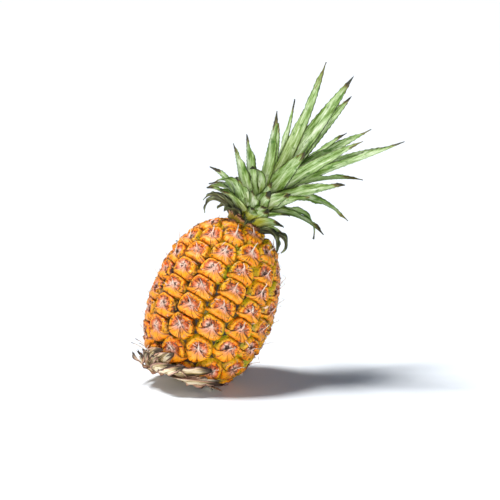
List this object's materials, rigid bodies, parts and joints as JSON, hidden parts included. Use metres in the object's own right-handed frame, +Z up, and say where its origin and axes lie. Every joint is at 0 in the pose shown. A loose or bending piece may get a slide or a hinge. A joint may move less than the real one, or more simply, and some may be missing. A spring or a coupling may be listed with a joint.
{
  "type": "pineapple",
  "caption": "Small whole pineapple with a leafy crown, resting on a table on the rim of its base and leaning to one side.",
  "frame": {"origin": "on the table, at the small flat spot under the lowest eyes of the fruit's base rim", "axes": "+Z up; the fruit and its crown lean towards +X and less towards +Y, and the view of the picture looks along +Y"},
  "size_m": [0.2177, 0.1438, 0.2637],
  "materials": {
    "rind": "satin",
    "crown_leaf": "satin",
    "withered_leaf": "matte",
    "dry_bract": "matte",
    "cut_stem": "matte"
  },
  "bodies": {
    "root": {"fruit": "rind", "crown": "crown_leaf", "crown_collar": "withered_leaf", "basal_bracts": "dry_bract", "stem_stub": "cut_stem"}
  },
  "joints": []
}
